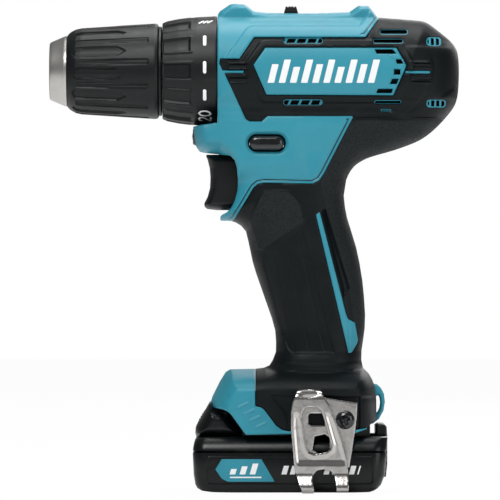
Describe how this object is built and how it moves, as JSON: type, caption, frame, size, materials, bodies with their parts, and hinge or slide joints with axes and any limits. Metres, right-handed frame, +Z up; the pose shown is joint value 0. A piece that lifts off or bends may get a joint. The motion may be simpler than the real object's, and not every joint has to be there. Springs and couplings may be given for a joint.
{
  "type": "cordless drill driver",
  "caption": "Compact pistol-grip cordless drill driver with keyless chuck, torque ring, soft-grip handle, belt clip and slide-on battery base.",
  "frame": {"origin": "middle of the battery's flat underside, on the plane where the two housing halves meet", "axes": "+Z up from the battery to the barrel, -X along the spindle towards the chuck, -Y towards the tool's left side, which carries the belt clip"},
  "size_m": [0.1819, 0.0771, 0.2162],
  "materials": {
    "teal_plastic": "fine satin moulding",
    "soft_grip": "soft-touch, fine texture",
    "black_plastic": "fine satin moulding",
    "gloss_black": "glossy moulding",
    "bright_steel": "turned and polished",
    "clip_steel": "bright plated strip",
    "dark_steel": "hardened and blackened",
    "spring_steel": "drawn wire",
    "winding": "steel core with copper windings",
    "lens": "clear moulded lens",
    "board": "coated circuit board",
    "cell": "steel can in a shrink sleeve",
    "red_wire": "insulated stranded wire",
    "black_wire": "insulated stranded wire"
  },
  "bodies": {
    "housing": {"housing_left": "teal_plastic", "housing_right": "teal_plastic", "grip_left": "soft_grip", "grip_right": "soft_grip", "housing_screw_1": "dark_steel", "housing_screw_2": "dark_steel", "housing_screw_3": "dark_steel", "housing_screw_4": "dark_steel", "housing_screw_5": "dark_steel", "housing_screw_6": "dark_steel", "gearbox_case": "black_plastic", "gearbox_plate": "black_plastic", "first_ring_gear": "dark_steel", "second_ring_gear": "dark_steel", "spindle_bearing_front": "bright_steel", "spindle_bearing_rear": "bright_steel", "thrust_washer": "bright_steel", "clutch_spring": "spring_steel", "motor_can": "bright_steel", "motor_end_bell": "black_plastic", "switch_body": "black_plastic", "work_light_lens": "lens", "terminal_block": "black_plastic", "belt_clip": "clip_steel", "clip_screw": "gloss_black", "motor_lead_red": "red_wire", "motor_lead_black": "black_wire", "battery_lead_red": "red_wire", "battery_lead_black": "black_wire"},
    "motor": {"armature": "winding", "motor_fan": "black_plastic", "motor_pinion": "bright_steel"},
    "first_stage": {"first_carrier": "dark_steel"},
    "chuck": {"chuck_body": "bright_steel", "chuck_screw": "dark_steel", "spindle": "dark_steel"},
    "sleeve": {"chuck_sleeve": "black_plastic", "jaw_nut": "dark_steel"},
    "torque_collar": {"torque_ring": "black_plastic", "clutch_nut": "bright_steel"},
    "trigger": {"trigger": "black_plastic"},
    "direction_lever": {"direction_lever": "gloss_black"},
    "speed_selector": {"speed_selector": "black_plastic"},
    "battery": {"battery_lower_case": "black_plastic", "battery_upper_case": "black_plastic", "battery_board": "board", "battery_cell_1": "cell", "battery_cell_2": "cell", "battery_cell_3": "cell"},
    "battery_button": {"battery_button": "gloss_black"},
    "jaw_1": {"jaw_1": "bright_steel"},
    "first_planet_1": {"first_planet_1": "bright_steel"},
    "second_planet_1": {"second_planet_1": "bright_steel"},
    "jaw_2": {"jaw_2": "bright_steel"},
    "first_planet_2": {"first_planet_2": "bright_steel"},
    "second_planet_2": {"second_planet_2": "bright_steel"},
    "jaw_3": {"jaw_3": "bright_steel"},
    "first_planet_3": {"first_planet_3": "bright_steel"},
    "second_planet_3": {"second_planet_3": "bright_steel"}
  },
  "joints": [
    {"name": "motor_spin", "type": "hinge", "parent": "housing", "child": "motor", "pos_m": [0, 0, 0.1863], "axis": [1, 0, 0], "continuous": true},
    {"name": "first_stage_spin", "type": "hinge", "parent": "housing", "child": "first_stage", "pos_m": [0, 0, 0.1863], "axis": [1, 0, 0], "continuous": true},
    {"name": "chuck_spin", "type": "hinge", "parent": "housing", "child": "chuck", "pos_m": [0, 0, 0.1863], "axis": [1, 0, 0], "continuous": true},
    {"name": "sleeve_turn", "type": "hinge", "parent": "chuck", "child": "sleeve", "pos_m": [-0.08, 0, 0.1863], "axis": [1, 0, 0], "range_deg": [0, 720]},
    {"name": "torque_ring_turn", "type": "hinge", "parent": "housing", "child": "torque_collar", "pos_m": [-0.045, 0, 0.1863], "axis": [1, 0, 0], "range_deg": [-30, 270]},
    {"name": "trigger_pull", "type": "slide", "parent": "housing", "child": "trigger", "axis": [1, 0, 0], "range_m": [0, 0.0055], "stiffness_N_per_m": 900, "springref_m": -0.004},
    {"name": "direction_push", "type": "slide", "parent": "housing", "child": "direction_lever", "axis": [0, 1, 0], "range_m": [-0.003, 0.003]},
    {"name": "speed_shift", "type": "slide", "parent": "housing", "child": "speed_selector", "axis": [1, 0, 0], "range_m": [0, 0.008]},
    {"name": "battery_slide", "type": "slide", "parent": "housing", "child": "battery", "axis": [-1, 0, 0], "range_m": [0, 0.07]},
    {"name": "battery_button_press", "type": "slide", "parent": "battery", "child": "battery_button", "axis": [1, 0, 0], "range_m": [0, 0.002], "stiffness_N_per_m": 400, "springref_m": -0.002},
    {"name": "first_planet_1_spin", "type": "hinge", "parent": "first_stage", "child": "first_planet_1", "pos_m": [-0.0143, 0.00948, 0.1863], "axis": [1, 0, 0], "continuous": true},
    {"name": "second_planet_1_spin", "type": "hinge", "parent": "chuck", "child": "second_planet_1", "pos_m": [-0.026, 0.00996, 0.1863], "axis": [1, 0, 0], "continuous": true},
    {"name": "first_planet_2_spin", "type": "hinge", "parent": "first_stage", "child": "first_planet_2", "pos_m": [-0.0143, -0.00474, 0.19451], "axis": [1, 0, 0], "continuous": true},
    {"name": "second_planet_2_spin", "type": "hinge", "parent": "chuck", "child": "second_planet_2", "pos_m": [-0.026, -0.00498, 0.19493], "axis": [1, 0, 0], "continuous": true},
    {"name": "first_planet_3_spin", "type": "hinge", "parent": "first_stage", "child": "first_planet_3", "pos_m": [-0.0143, -0.00474, 0.17809], "axis": [1, 0, 0], "continuous": true},
    {"name": "second_planet_3_spin", "type": "hinge", "parent": "chuck", "child": "second_planet_3", "pos_m": [-0.026, -0.00498, 0.17767], "axis": [1, 0, 0], "continuous": true},
    {"name": "jaw_1_slide", "type": "slide", "parent": "chuck", "child": "jaw_1", "axis": [-0.9563, 0, -0.2924], "range_m": [0, 0.015]},
    {"name": "jaw_2_slide", "type": "slide", "parent": "chuck", "child": "jaw_2", "axis": [-0.9563, 0.2532, 0.1462], "range_m": [0, 0.015]},
    {"name": "jaw_3_slide", "type": "slide", "parent": "chuck", "child": "jaw_3", "axis": [-0.9563, -0.2532, 0.1462], "range_m": [0, 0.015]}
  ],
  "couplings": [
    {"joint": "first_stage_spin", "follows": "motor_spin", "ratio": 0.16667},
    {"joint": "chuck_spin", "follows": "motor_spin", "ratio": 0.034722},
    {"joint": "first_planet_1_spin", "follows": "motor_spin", "ratio": -0.41667},
    {"joint": "second_planet_1_spin", "follows": "motor_spin", "ratio": -0.094246},
    {"joint": "first_planet_2_spin", "follows": "motor_spin", "ratio": -0.41667},
    {"joint": "second_planet_2_spin", "follows": "motor_spin", "ratio": -0.094246},
    {"joint": "first_planet_3_spin", "follows": "motor_spin", "ratio": -0.41667},
    {"joint": "second_planet_3_spin", "follows": "motor_spin", "ratio": -0.094246},
    {"joint": "jaw_1_slide", "follows": "sleeve_turn", "m_per_rad": 0.00119},
    {"joint": "jaw_2_slide", "follows": "sleeve_turn", "m_per_rad": 0.00119},
    {"joint": "jaw_3_slide", "follows": "sleeve_turn", "m_per_rad": 0.00119}
  ]
}
